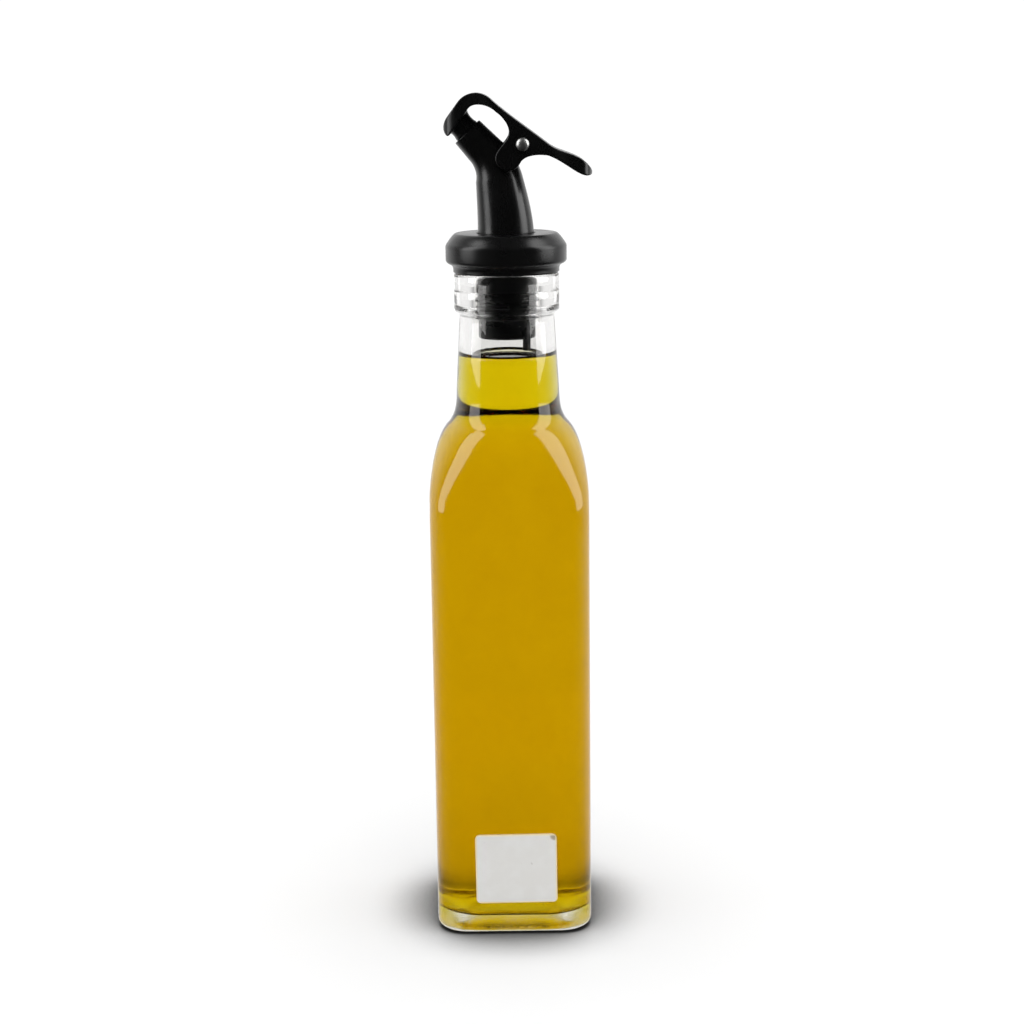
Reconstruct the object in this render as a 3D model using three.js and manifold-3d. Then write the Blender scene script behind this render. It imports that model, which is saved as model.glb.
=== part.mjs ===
// Oil bottle: a square glass bottle of cooking oil, with a black lever pourer pushed into its mouth.
// Millimetres, +Z up. The origin is the middle of the base on the table, and -Y is the labelled front.
import * as THREE from 'three';
import { mergeVertices } from 'three/addons/utils/BufferGeometryUtils.js';
import Module from 'manifold-3d';

const wasm = await Module();
wasm.setup();

// Play kept between pieces that touch
const GAP = 0.3;

// Glass bottle
const BODY_HALF = 23.8;              // half the width of the square body
const OUTER_CORNER = 0.36;           // corner radius as a share of the half width, outside
const INNER_CORNER = 0.28;           // and inside the wall
const WALL = 2.8;
const HEEL_RADIUS = 3.0;             // rounding where the sides meet the base
const STANDING_RING = 17.5;          // inner edge of the flat ring that it stands on
const PUNT_HEIGHT = 1.8;             // how far the middle of the base is pushed up
const FLOOR_EDGE_Z = 4.2;            // inside floor near the walls
const FLOOR_MIDDLE_Z = 6.0;          // inside floor over the punt
const FLOOR_ROUNDING = 7.0;          // inside rounding between floor and wall, measured along the floor
const FLOOR_ROUNDING_RISE = 4.8;     // and up the wall
const FLOOR_ROUNDNESS = 0.5;         // how far the inside floor turns from a square towards a circle
const FLOOR_ROUND_TOP_Z = 18;        // and the height where that has faded out
const SQUARE_TOP_Z = 136;            // the sides are straight up to here
const ROUND_FOOT_Z = 158;            // the section is a circle from here up
const SHOULDER_BEND = [18.0, 156.2]; // radius and height where the shoulder's curve turns over
const NECK_FOOT_Z = 166;
const NECK_FOOT_RADIUS = 15.5;
const NECK_TOP_Z = 188.6;
const NECK_TOP_RADIUS = 14.15;
const FINISH_FOOT_Z = 191.6;         // lower edge of the thick ring around the mouth
const FINISH_RADIUS = 15.7;
const MOUTH_Z = 201.1;
const LIP_ROUNDING = 1.2;
const GROOVE_Z = 196.1;              // thin parting groove around the mouth ring
const GROOVE_DEPTH = 0.35;
const BORE_RADIUS = 9.6;             // bore at the mouth
const NECK_INNER_RADIUS = 11.2;      // bore at the foot of the neck
const INNER_BEND = [13.6, 154.6];    // where the inside of the shoulder turns over
const BODY_SIDES = 48;               // facets around the glass and the oil
const FACET_CROWDING = 0.11;         // how far the facets crowd towards the corners

// Oil
const OIL_LEVEL_Z = 176.2;

// Label on the front face
const LABEL_WIDTH = 24.8;
const LABEL_HEIGHT = 22.2;
const LABEL_CORNER = 1.4;
const LABEL_THICKNESS = 0.2;
const LABEL_X = 0.7;
const LABEL_Z = 21.5;
const LABEL_TWIST = THREE.MathUtils.degToRad(-0.5);   // stuck on a little crooked

// Stopper: collar, ring that sits on the mouth, ribbed plug in the bore, and a short vent tube
const COLLAR_RADIUS = 18.0;
const COLLAR_TOP_Z = 212.65;
const COLLAR_FLAT_RADIUS = 14.9;     // flat top inside the chamfer
const COLLAR_WALL_TOP_Z = 209.0;
const COLLAR_WALL_FOOT_Z = 204.7;
const SEAT_RING_RADIUS = 15.8;
const SEAT_RING_TOP_Z = 203.4;
const PLUG_RADIUS = 9.05;
const RIB_RADIUS = BORE_RADIUS - GAP;
const RIB_VALLEY_RADIUS = 8.7;
const RIB_FOOT_Z = 187.9;
const RIB_PITCH = 1.65;
const RIB_COUNT = 4;
const TIP_RADIUS = 8.5;              // narrower foot of the plug
const PLUG_FOOT_Z = 181.7;
const SEAT_DEPTH = 0.9;              // shallow seat in the collar around the foot of the spout
const SEAT_RADIUS = 8.75;
const SOCKET_RADIUS = 6.6;           // socket for the stem of the spout
const SOCKET_FLOOR_Z = 203.0;
const FLOW_BORE_RADIUS = 5.0;
const STOPPER_SIDES = 40;
const VENT_RADIUS = 1.1;
const VENT_BORE_RADIUS = 0.55;
const VENT_AXIS = [6.0, -5.55];
const VENT_FOOT_Z = 178.3;
const VENT_TOP_Z = 187.2;

// Spout: a stem in the stopper, a leaning cone, a knee and a slanted tube
const SPOUT_BASE_RADIUS = 8.35;
const SPOUT_KNEE_RADIUS = 6.9;
const SPOUT_TUBE_RADIUS = 5.35;
const SPOUT_MOUTH_RADIUS = 4.85;
const LIP_CHAMFER = 0.35;
const SPOUT_BORE_BASE = 4.9;
const SPOUT_BORE_MOUTH = 3.5;
const STEM_RADIUS = SOCKET_RADIUS - GAP;
const STEM_FOOT_Z = SOCKET_FLOOR_Z + GAP;
const SPOUT_BASE_Z = COLLAR_TOP_Z - SEAT_DEPTH + GAP;
const KNEE_START = [-1.8, 228.6];
const KNEE_CORNER = [-2.5, 233.0];
const MOUTH_CENTRE = [-10.94, 242.13];
const MOUTH_TILT = THREE.MathUtils.degToRad(43);   // lean of the slanted tube from upright
const TUBE_LENGTH = 7.6;                           // straight length of the slanted tube
const SPOUT_SIDES = 32;

// Lever lid, hung on a steel pin through a lug on the spout
const PIVOT = [5.2, 238.5];
const PIN_RADIUS = 1.05;
const PIN_HOLE_RADIUS = 1.25;
const PIN_HEAD_RADIUS = 1.95;
const PIN_HEAD_HEIGHT = 1.25;
const EAR_INNER_Y = 6.95;
const EAR_OUTER_Y = 8.75;
const LUG_RADIUS = 2.4;
const LUG_HALF_WIDTH = 3.0;
const HOOK_HALF_WIDTH = 6.4;
const PADDLE_HALF_WIDTH = 7.0;
const LEVER_HOOK_X = -18.3;
const LEVER_TIP_X = 25.7;
const LEVER_LOW_Z = 225;             // the plan of the lever is drawn out from below its lowest point
const LEVER_HIGH_Z = 256;            // to above its highest
const BOSS_RADIUS = 4.0;             // round stub under the hook that closes the mouth
const BOSS_WAIST_RADIUS = 3.7;
const BOSS_LENGTH = 5.0;

// Materials
const glass = new THREE.MeshStandardMaterial({
  color: 0xe8eeea, roughness: 0.04, metalness: 0, transparent: true, opacity: 0.35,
});
const oilLiquid = new THREE.MeshStandardMaterial({
  color: 0xb58c00, roughness: 0.05, metalness: 0, transparent: true, opacity: 0.85,
});
const paper = new THREE.MeshStandardMaterial({ color: 0xe4e2dc, roughness: 0.7, metalness: 0 });
const rubber = new THREE.MeshStandardMaterial({ color: 0x161617, roughness: 0.5, metalness: 0 });
const plastic = new THREE.MeshStandardMaterial({ color: 0x121213, roughness: 0.36, metalness: 0 });
const steel = new THREE.MeshStandardMaterial({ color: 0xb9b9b6, roughness: 0.25, metalness: 1 });

// Welds a geometry to bare shared corners and drops the triangles that collapse, as at a lathe's poles.
function weld(geometry) {
  const bare = geometry.clone();
  bare.deleteAttribute('normal');
  bare.deleteAttribute('uv');
  const merged = mergeVertices(bare, 1e-4);
  const index = merged.index.array;
  const kept = [];
  for (let i = 0; i < index.length; i += 3) {
    const [a, b, c] = [index[i], index[i + 1], index[i + 2]];
    if (a !== b && b !== c && c !== a) kept.push(a, b, c);
  }
  merged.setIndex(kept);
  return merged;
}

function toSolid(geometry) {
  const merged = weld(geometry);
  return new wasm.Manifold(new wasm.Mesh({
    numProp: 3,
    vertProperties: new Float32Array(merged.attributes.position.array),
    triVerts: new Uint32Array(merged.index.array),
  }));
}

function toGeometry(solid) {
  const mesh = solid.getMesh();
  const geometry = new THREE.BufferGeometry();
  geometry.setAttribute('position', new THREE.BufferAttribute(mesh.vertProperties, 3));
  geometry.setIndex(new THREE.BufferAttribute(mesh.triVerts, 1));
  geometry.computeVertexNormals();
  return geometry;
}

function piece(name, geometry, material) {
  const mesh = new THREE.Mesh(geometry, material);
  mesh.name = name;
  return mesh;
}

const at = (x, y) => new THREE.Vector2(x, y);

// Points of a Bezier curve with three or four controls, without its first point, so that curves chain.
function bend(steps, ...controls) {
  const v = controls.map(([x, y]) => at(x, y));
  const curve = v.length === 3 ? new THREE.QuadraticBezierCurve(...v) : new THREE.CubicBezierCurve(...v);
  return curve.getPoints(steps).slice(1);
}

// A lathe stood upright: the profile gives radius and height, outside upward and inside downward.
function turned(profile, sides) {
  return new THREE.LatheGeometry(profile, sides).rotateX(Math.PI / 2);
}

// A bottle section is a square with rounded corners low down and a circle in the neck. This bends each
// ring of a lathe to that section. The facets crowd towards the corners, where the surface turns most.
function squared(geometry, bodyCorner, footRoundness = 0) {
  const position = geometry.attributes.position;
  for (let i = 0; i < position.count; i++) {
    const [x, y, z] = [position.getX(i), position.getY(i), position.getZ(i)];
    const half = Math.hypot(x, y);
    const turn = Math.atan2(y, x);
    const angle = turn + FACET_CROWDING * Math.sin(4 * turn);
    const roundness = THREE.MathUtils.smoothstep(z, SQUARE_TOP_Z - 6, ROUND_FOOT_Z)
      + footRoundness * (1 - THREE.MathUtils.smoothstep(z, FLOOR_EDGE_Z, FLOOR_ROUND_TOP_Z));
    const corner = half * (bodyCorner + (1 - bodyCorner) * roundness);
    const quarter = Math.PI / 2;
    const within = ((angle % quarter) + quarter) % quarter;
    const fromDiagonal = within - quarter / 2;
    const centre = (half - corner) * Math.SQRT2;
    const side = Math.min(within, quarter - within);
    const onSide = half / Math.cos(side);
    const onCorner = centre * Math.cos(fromDiagonal)
      + Math.sqrt(Math.max(0, corner ** 2 - (centre * Math.sin(fromDiagonal)) ** 2));
    const touching = Math.atan2(half - corner, half);
    const radius = side < touching ? onSide : onCorner;
    position.setXYZ(i, radius * Math.cos(angle), radius * Math.sin(angle), z);
  }
  return geometry;
}

// A flat outline in X and Z drawn out along Y.
function plate(points, nearY, farY) {
  const geometry = new THREE.ExtrudeGeometry(new THREE.Shape(points), {
    depth: farY - nearY, bevelEnabled: false,
  });
  return toSolid(geometry.rotateX(Math.PI / 2).translate(0, farY, 0));
}

function crossBar(radius, [x, z], reach, sides = 20) {
  return toSolid(new THREE.CylinderGeometry(radius, radius, 2 * reach, sides).translate(x, 0, z));
}

// Inside of the glass from the axis of the floor up to a height in the neck, shrunk by a margin.
function cavity(margin, topZ) {
  const wall = BODY_HALF - WALL - margin;
  const [bendRadius, bendZ] = INNER_BEND;
  const floor = FLOOR_EDGE_Z + margin;
  const neck = NECK_INNER_RADIUS - margin;
  const foot = wall - FLOOR_ROUNDING;
  const topRadius = THREE.MathUtils.mapLinear(
    topZ, NECK_FOOT_Z, MOUTH_Z, NECK_INNER_RADIUS, BORE_RADIUS) - margin;
  return [
    at(0, FLOOR_MIDDLE_Z + margin),
    ...bend(2, [0, FLOOR_MIDDLE_Z + margin], [foot * 0.6, FLOOR_MIDDLE_Z + margin], [foot, floor]),
    ...bend(4, [foot, floor], [wall, floor], [wall, floor + FLOOR_ROUNDING_RISE]),
    at(wall, FLOOR_ROUND_TOP_Z),
    at(wall, SQUARE_TOP_Z - 4),
    ...bend(6, [wall, SQUARE_TOP_Z - 4], [wall - 0.4, 146], [bendRadius + 3.8 - margin, bendZ - 4],
      [bendRadius - margin, bendZ]),
    ...bend(5, [bendRadius - margin, bendZ], [bendRadius - 1.6 - margin, bendZ + 2.2],
      [neck + 0.1, NECK_FOOT_Z - 6], [neck, NECK_FOOT_Z]),
    at(topRadius, topZ),
  ];
}

// Outside of the glass from the middle of the base up to the inner edge of the lip.
function outerWall() {
  const [bendRadius, bendZ] = SHOULDER_BEND;
  return [
    at(0, PUNT_HEIGHT),
    ...bend(2, [0, PUNT_HEIGHT], [STANDING_RING * 0.7, PUNT_HEIGHT], [STANDING_RING, 0]),
    at(BODY_HALF - HEEL_RADIUS, 0),
    ...bend(3, [BODY_HALF - HEEL_RADIUS, 0], [BODY_HALF, 0], [BODY_HALF, HEEL_RADIUS]),
    at(BODY_HALF, SQUARE_TOP_Z),
    ...bend(6, [BODY_HALF, SQUARE_TOP_Z], [BODY_HALF - 0.5, 147.2], [bendRadius + 2.6, bendZ - 2.6],
      [bendRadius, bendZ]),
    ...bend(6, [bendRadius, bendZ], [bendRadius - 1.6, bendZ + 2.0], [NECK_FOOT_RADIUS, NECK_FOOT_Z - 5.5],
      [NECK_FOOT_RADIUS, NECK_FOOT_Z]),
    at(NECK_TOP_RADIUS, NECK_TOP_Z),
    ...bend(3, [NECK_TOP_RADIUS, NECK_TOP_Z], [NECK_TOP_RADIUS, FINISH_FOOT_Z - 1],
      [FINISH_RADIUS, FINISH_FOOT_Z - 1], [FINISH_RADIUS, FINISH_FOOT_Z]),
    at(FINISH_RADIUS, GROOVE_Z - GROOVE_DEPTH),
    at(FINISH_RADIUS - GROOVE_DEPTH, GROOVE_Z),
    at(FINISH_RADIUS, GROOVE_Z + GROOVE_DEPTH),
    at(FINISH_RADIUS, MOUTH_Z - LIP_ROUNDING),
    ...bend(3, [FINISH_RADIUS, MOUTH_Z - LIP_ROUNDING], [FINISH_RADIUS, MOUTH_Z],
      [FINISH_RADIUS - LIP_ROUNDING, MOUTH_Z]),
    at(BORE_RADIUS + LIP_ROUNDING, MOUTH_Z),
  ];
}

// The outside and the inside have corners of different roundness, so each is a solid of its own.
function makeGlass() {
  const shell = [...outerWall(), at(0, MOUTH_Z)];
  const hollow = [...cavity(0, MOUTH_Z - LIP_ROUNDING), at(BORE_RADIUS + LIP_ROUNDING, MOUTH_Z),
    at(BORE_RADIUS + LIP_ROUNDING, MOUTH_Z + 1), at(0, MOUTH_Z + 1)];
  const outer = toSolid(squared(turned(shell, BODY_SIDES), OUTER_CORNER));
  const inner = toSolid(squared(turned(hollow, BODY_SIDES), INNER_CORNER, FLOOR_ROUNDNESS));
  return toGeometry(outer.subtract(inner));
}

// The oil stops at its level in the neck, a hair clear of the glass.
function makeOil() {
  const profile = [...cavity(GAP, OIL_LEVEL_Z), at(0, OIL_LEVEL_Z)];
  return toGeometry(toSolid(squared(turned(profile, BODY_SIDES), INNER_CORNER, FLOOR_ROUNDNESS)));
}

function makeLabel() {
  const [w, h, r] = [LABEL_WIDTH / 2, LABEL_HEIGHT / 2, LABEL_CORNER];
  const outline = new THREE.Shape();
  outline.absarc(w - r, h - r, r, 0, Math.PI / 2);
  outline.absarc(r - w, h - r, r, Math.PI / 2, Math.PI);
  outline.absarc(r - w, r - h, r, Math.PI, 1.5 * Math.PI);
  outline.absarc(w - r, r - h, r, 1.5 * Math.PI, 2 * Math.PI);
  const middle = at(LABEL_X, LABEL_Z);
  const points = outline.getPoints(4).map((p) => p.rotateAround(at(0, 0), LABEL_TWIST).add(middle));
  const back = -BODY_HALF - GAP;
  return toGeometry(plate(points, back - LABEL_THICKNESS, back));
}

// Collar, seat ring and plug are one turned moulding with a stepped bore, and the vent stands on its foot.
function makeStopper() {
  const ribs = [];
  for (let i = 0; i < RIB_COUNT; i++) {
    const z = RIB_FOOT_Z + i * RIB_PITCH;
    ribs.push(at(RIB_VALLEY_RADIUS, z), at(RIB_RADIUS, z + 0.35), at(RIB_VALLEY_RADIUS, z + 0.9));
  }
  const ribTop = RIB_FOOT_Z + RIB_COUNT * RIB_PITCH;
  const profile = [
    at(FLOW_BORE_RADIUS, PLUG_FOOT_Z),
    at(TIP_RADIUS - 0.5, PLUG_FOOT_Z),
    at(TIP_RADIUS, PLUG_FOOT_Z + 0.5),
    at(TIP_RADIUS, RIB_FOOT_Z - 0.6),
    ...ribs,
    at(PLUG_RADIUS, ribTop),
    at(PLUG_RADIUS, MOUTH_Z + GAP),
    at(SEAT_RING_RADIUS, MOUTH_Z + GAP),
    ...bend(3, [SEAT_RING_RADIUS, MOUTH_Z + GAP], [SEAT_RING_RADIUS - 0.1, SEAT_RING_TOP_Z - 0.2],
      [COLLAR_RADIUS - 1.2, SEAT_RING_TOP_Z + 0.2]),
    ...bend(2, [COLLAR_RADIUS - 1.2, SEAT_RING_TOP_Z + 0.2], [COLLAR_RADIUS, COLLAR_WALL_FOOT_Z - 0.6],
      [COLLAR_RADIUS, COLLAR_WALL_FOOT_Z + 0.2]),
    at(COLLAR_RADIUS, COLLAR_WALL_TOP_Z - 0.4),
    ...bend(2, [COLLAR_RADIUS, COLLAR_WALL_TOP_Z - 0.4], [COLLAR_RADIUS, COLLAR_WALL_TOP_Z + 0.3],
      [COLLAR_RADIUS - 0.6, COLLAR_WALL_TOP_Z + 1.0]),
    ...bend(3, [COLLAR_RADIUS - 0.6, COLLAR_WALL_TOP_Z + 1.0], [COLLAR_FLAT_RADIUS + 0.8, COLLAR_TOP_Z - 0.1],
      [COLLAR_FLAT_RADIUS, COLLAR_TOP_Z]),
    at(SEAT_RADIUS, COLLAR_TOP_Z),
    at(SEAT_RADIUS, COLLAR_TOP_Z - SEAT_DEPTH),
    at(SOCKET_RADIUS, COLLAR_TOP_Z - SEAT_DEPTH),
    at(SOCKET_RADIUS, SOCKET_FLOOR_Z),
    at(FLOW_BORE_RADIUS, SOCKET_FLOOR_Z),
    at(FLOW_BORE_RADIUS, PLUG_FOOT_Z),
  ];
  const moulding = toSolid(turned(profile, STOPPER_SIDES));
  const tube = (radius, low, high) => toSolid(turned(
    [at(0, low), at(radius, low), at(radius, high), at(0, high)], 12).translate(...VENT_AXIS, 0));
  const vent = tube(VENT_RADIUS, VENT_FOOT_Z, VENT_TOP_Z);
  const ventBore = tube(VENT_BORE_RADIUS, VENT_FOOT_Z - 1, VENT_FOOT_Z + 2.5);
  return toGeometry(moulding.add(vent).subtract(ventBore));
}

// The spout is turned straight and then laid along its centre line, so it keeps its bore and its lip.
function makeSpout() {
  const v = ([x, z]) => new THREE.Vector3(x, 0, z);
  const mouth = v(MOUTH_CENTRE);
  const tubeAxis = new THREE.Vector3(-Math.sin(MOUTH_TILT), 0, Math.cos(MOUTH_TILT));
  const tubeFoot = mouth.clone().addScaledVector(tubeAxis, -TUBE_LENGTH);
  const path = new THREE.CurvePath();
  path.add(new THREE.LineCurve3(v([0, STEM_FOOT_Z]), v([0, SPOUT_BASE_Z])));
  path.add(new THREE.CubicBezierCurve3(v([0, SPOUT_BASE_Z]), v([0, SPOUT_BASE_Z + 5]),
    v([-1.1, KNEE_START[1] - 4.6]), v(KNEE_START)));
  path.add(new THREE.QuadraticBezierCurve3(v(KNEE_START), v(KNEE_CORNER), tubeFoot));
  path.add(new THREE.LineCurve3(tubeFoot, mouth));
  const [base, knee, tube, end] = path.getCurveLengths();

  const outside = [
    at(0, 0),
    at(STEM_RADIUS, 0),
    at(STEM_RADIUS, base),
    at(SPOUT_BASE_RADIUS, base),
    ...bend(5, [SPOUT_BASE_RADIUS, base], [SPOUT_BASE_RADIUS - 0.25, base + 6],
      [SPOUT_KNEE_RADIUS + 0.7, knee - 5.2], [SPOUT_KNEE_RADIUS, knee]),
    ...bend(5, [SPOUT_KNEE_RADIUS, knee], [SPOUT_TUBE_RADIUS + 0.5, (knee + tube) / 2], [SPOUT_TUBE_RADIUS, tube]),
    at(SPOUT_MOUTH_RADIUS, end - LIP_CHAMFER),
    at(SPOUT_MOUTH_RADIUS - LIP_CHAMFER, end),
    at(0, end),
  ];
  const inside = [
    at(0, -1),
    at(SPOUT_BORE_BASE, -1),
    at(SPOUT_BORE_BASE, base),
    at(SPOUT_BORE_BASE - 0.3, knee),
    at(SPOUT_BORE_MOUTH + 0.6, (knee + tube) / 2),
    at(SPOUT_BORE_MOUTH + 0.3, tube),
    at(SPOUT_BORE_MOUTH, end + 1),
    at(0, end + 1),
  ];
  const laid = (profile) => {
    const geometry = turned(profile, SPOUT_SIDES);
    const position = geometry.attributes.position;
    for (let i = 0; i < position.count; i++) {
      const [x, y, s] = [position.getX(i), position.getY(i), position.getZ(i)];
      const share = THREE.MathUtils.clamp(s / end, 0, 1);
      const direction = path.getTangentAt(share);
      const centre = path.getPointAt(share).addScaledVector(direction, s - share * end);
      position.setXYZ(i, centre.x + x * direction.z, y, centre.z - x * direction.x);
    }
    return toSolid(geometry);
  };
  const shell = laid(outside).add(makeLug())
    .subtract(laid(inside))
    .subtract(crossBar(PIN_HOLE_RADIUS, PIVOT, LUG_HALF_WIDTH + 1));
  return { shell, tubeAxis, mouth };
}

// The lug reaches from the back of the spout to the pin, between the ears of the lever.
function makeLug() {
  const [px, pz] = PIVOT;
  const outline = new THREE.Shape();
  outline.absarc(px, pz, LUG_RADIUS, THREE.MathUtils.degToRad(-65), THREE.MathUtils.degToRad(120));
  outline.lineTo(px - 6.2, pz - 1.9);
  outline.lineTo(px - 5.2, pz - 7.5);
  outline.lineTo(px - 1.9, pz - 7.0);
  return plate(outline.getPoints(8), -LUG_HALF_WIDTH, LUG_HALF_WIDTH);
}

// Side view of the lever: hook over the mouth, straight back over the pivot, and a thumb paddle.
function leverBlank() {
  const outline = [
    at(-16.0, 241.3),
    ...bend(2, [-16.0, 241.3], [-16.5, 240.7], [-16.9, 241.1]),
    ...bend(5, [-16.9, 241.1], [-18.2, 242.2], [-18.1, 244.4], [-17.0, 246.1]),
    at(-13.3, 251.0),
    ...bend(8, [-13.3, 251.0], [-11.0, 253.7], [-6.5, 254.4], [-3.3, 250.9]),
    ...bend(3, [-3.3, 250.9], [1.0, 247.1], [5.6, 244.0], [13.2, 238.2]),
    ...bend(5, [13.2, 238.2], [15.6, 236.4], [18.9, 236.1], [21.9, 234.4]),
    ...bend(6, [21.9, 234.4], [24.6, 232.8], [27.2, 229.4], [24.6, 229.2]),
    ...bend(6, [24.6, 229.2], [21.6, 228.8], [17.5, 233.4], [12.6, 235.2]),
    at(9.6, 238.6),
    at(-2.4, 247.7),
    ...bend(7, [-2.4, 247.7], [-4.6, 250.1], [-9.6, 250.9], [-10.9, 248.2]),
  ];
  return plate(outline.reverse(), -EAR_OUTER_Y, EAR_OUTER_Y);
}

// Seen from above the lever is round at the hook, widest at the ears and tapers to a round paddle.
function leverPlan() {
  const half = [
    at(LEVER_HOOK_X, 0),
    ...bend(5, [LEVER_HOOK_X, 0], [LEVER_HOOK_X, 4.2], [-16, HOOK_HALF_WIDTH], [-12.5, HOOK_HALF_WIDTH]),
    ...bend(3, [-12.5, HOOK_HALF_WIDTH], [-7, HOOK_HALF_WIDTH], [-5, EAR_OUTER_Y], [-1.5, EAR_OUTER_Y]),
    at(8, EAR_OUTER_Y),
    ...bend(6, [8, EAR_OUTER_Y], [15, EAR_OUTER_Y], [14, PADDLE_HALF_WIDTH], [21, PADDLE_HALF_WIDTH]),
    ...bend(6, [21, PADDLE_HALF_WIDTH], [24.2, PADDLE_HALF_WIDTH], [LEVER_TIP_X, 4.5], [LEVER_TIP_X, 0]),
  ];
  const other = half.slice(1, -1).reverse().map((p) => at(p.x, -p.y));
  const geometry = new THREE.ExtrudeGeometry(new THREE.Shape([...half, ...other]), {
    depth: LEVER_HIGH_Z - LEVER_LOW_Z, bevelEnabled: false,
  });
  return toSolid(geometry.translate(0, 0, LEVER_LOW_Z));
}

// The ears hang from the strip on both sides of the spout and end in a rounded lobe.
function leverEar(nearY, farY) {
  const outline = [
    at(-3.6, 249.4),
    at(-2.5, 248.0),
    ...bend(5, [-2.5, 248.0], [-0.6, 246.3], [1.35, 244.2], [1.25, 242.0]),
    ...bend(6, [1.25, 242.0], [1.5, 239.6], [-2.3, 237.7], [-2.75, 235.0]),
    ...bend(4, [-2.75, 235.0], [-3.1, 233.2], [-1.1, 231.0], [0.9, 231.0]),
    ...bend(3, [0.9, 231.0], [2.4, 231.0], [3.8, 231.6], [4.6, 233.4]),
    ...bend(5, [4.6, 233.4], [5.6, 235.1], [9.0, 235.8], [12.6, 235.2]),
    at(12.4, 237.4),
  ];
  return plate(outline, nearY, farY);
}

function makeLever(spout) {
  const profile = [
    at(0, 0), at(BOSS_RADIUS, 0), at(BOSS_RADIUS, 0.6),
    ...bend(3, [BOSS_RADIUS, 0.6], [BOSS_WAIST_RADIUS, 1.2], [BOSS_WAIST_RADIUS, 2.2]),
    ...bend(3, [BOSS_WAIST_RADIUS, 2.2], [BOSS_WAIST_RADIUS, 3.6], [BOSS_RADIUS + 0.5, BOSS_LENGTH]),
    at(0, BOSS_LENGTH),
  ];
  const foot = spout.mouth.clone().addScaledVector(spout.tubeAxis, GAP);
  const boss = toSolid(turned(profile, 28).rotateY(-MOUTH_TILT).translate(foot.x, 0, foot.z));
  return toGeometry(leverBlank()
    .intersect(leverPlan())
    .add(leverEar(-EAR_OUTER_Y, -EAR_INNER_Y))
    .add(leverEar(EAR_INNER_Y, EAR_OUTER_Y))
    .add(boss)
    .subtract(crossBar(PIN_HOLE_RADIUS, PIVOT, EAR_OUTER_Y + 1)));
}

// The pin is a thin bar with a domed head outside each ear.
function makePin() {
  const shoulder = EAR_OUTER_Y + GAP;
  const dome = (sign) => {
    const top = sign * (shoulder + PIN_HEAD_HEIGHT);
    return bend(4, [0, top], [PIN_HEAD_RADIUS * 0.75, top], [PIN_HEAD_RADIUS, sign * (shoulder + 0.45)],
      [PIN_HEAD_RADIUS, sign * shoulder]);
  };
  const profile = [
    at(0, -shoulder - PIN_HEAD_HEIGHT), ...dome(-1),
    at(PIN_RADIUS, -shoulder), at(PIN_RADIUS, shoulder),
    ...[at(0, shoulder + PIN_HEAD_HEIGHT), ...dome(1)].reverse(),
  ];
  return toGeometry(toSolid(new THREE.LatheGeometry(profile, 20).translate(PIVOT[0], 0, PIVOT[1])));
}

const spout = makeSpout();

const bottle = new THREE.Group();
bottle.add(
  piece('glass_bottle', makeGlass(), glass),
  piece('oil', makeOil(), oilLiquid),
  piece('front_label', makeLabel(), paper),
);

const pourer = new THREE.Group();
pourer.add(
  piece('stopper', makeStopper(), rubber),
  piece('pour_spout', toGeometry(spout.shell), plastic),
  piece('pivot_pin', makePin(), steel),
);

const lever = new THREE.Group();
lever.add(piece('lever_lid', makeLever(spout), plastic));
pourer.add(lever);

const oilBottle = new THREE.Group();
oilBottle.add(bottle, pourer);
export default oilBottle;
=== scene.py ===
# %% [markdown]
# # A square bottle of golden oil with a black lever pourer
# The object is a quarter-litre glass bottle. A rubber stopper sits in its mouth and carries a bent
# spout, and a thumb lever on a steel pin keeps the spout shut. The solid model is loaded first, as a
# fixed frame in metres, and every finer piece below is built in that same frame, so nothing has to be
# fitted or scaled afterwards.

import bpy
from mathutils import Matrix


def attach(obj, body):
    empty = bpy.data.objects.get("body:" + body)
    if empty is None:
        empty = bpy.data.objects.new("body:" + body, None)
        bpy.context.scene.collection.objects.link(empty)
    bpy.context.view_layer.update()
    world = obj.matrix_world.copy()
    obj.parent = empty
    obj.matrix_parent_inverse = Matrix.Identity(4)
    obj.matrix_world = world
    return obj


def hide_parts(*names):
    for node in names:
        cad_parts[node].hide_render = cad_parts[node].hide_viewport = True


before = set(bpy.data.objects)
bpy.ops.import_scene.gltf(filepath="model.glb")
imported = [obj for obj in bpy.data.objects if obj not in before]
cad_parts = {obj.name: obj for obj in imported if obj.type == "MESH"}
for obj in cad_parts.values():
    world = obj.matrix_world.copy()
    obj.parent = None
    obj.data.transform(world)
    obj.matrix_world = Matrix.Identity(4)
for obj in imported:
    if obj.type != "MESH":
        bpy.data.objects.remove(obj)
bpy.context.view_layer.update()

# %% Tools from Blender and Python
import math

import bmesh
import bpy
from mathutils import Matrix, Vector, noise

MM = 0.001
scene = bpy.context.scene

# %% [markdown]
# ## The camera first
# The photograph looks down a little from about 0.6 m. The place, the tilt and the lens were worked out
# from the outline of the bottle: its base, its neck ring and the tips of the pourer. Setting the camera
# before the pieces means that every test render can be laid over the photograph.

# %% Camera
CAMERA_PLACE = Vector((0.75, -579.5, 257.0)) * MM
LOOKING_DOWN = 0.21938
CAMERA_ROLL = -0.013014

camera = bpy.data.objects.new("camera", bpy.data.cameras.new("camera"))
scene.collection.objects.link(camera)
camera.data.sensor_width = 36
camera.data.lens = 68.27
camera.data.clip_end = 100
camera.matrix_world = (
    Matrix.Translation(CAMERA_PLACE)
    @ Matrix.Rotation(math.pi / 2 - LOOKING_DOWN, 4, "X")
    @ Matrix.Rotation(CAMERA_ROLL, 4, "Z")
)
scene.camera = camera
print("camera at, mm:", [round(v / MM, 1) for v in camera.location])

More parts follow.
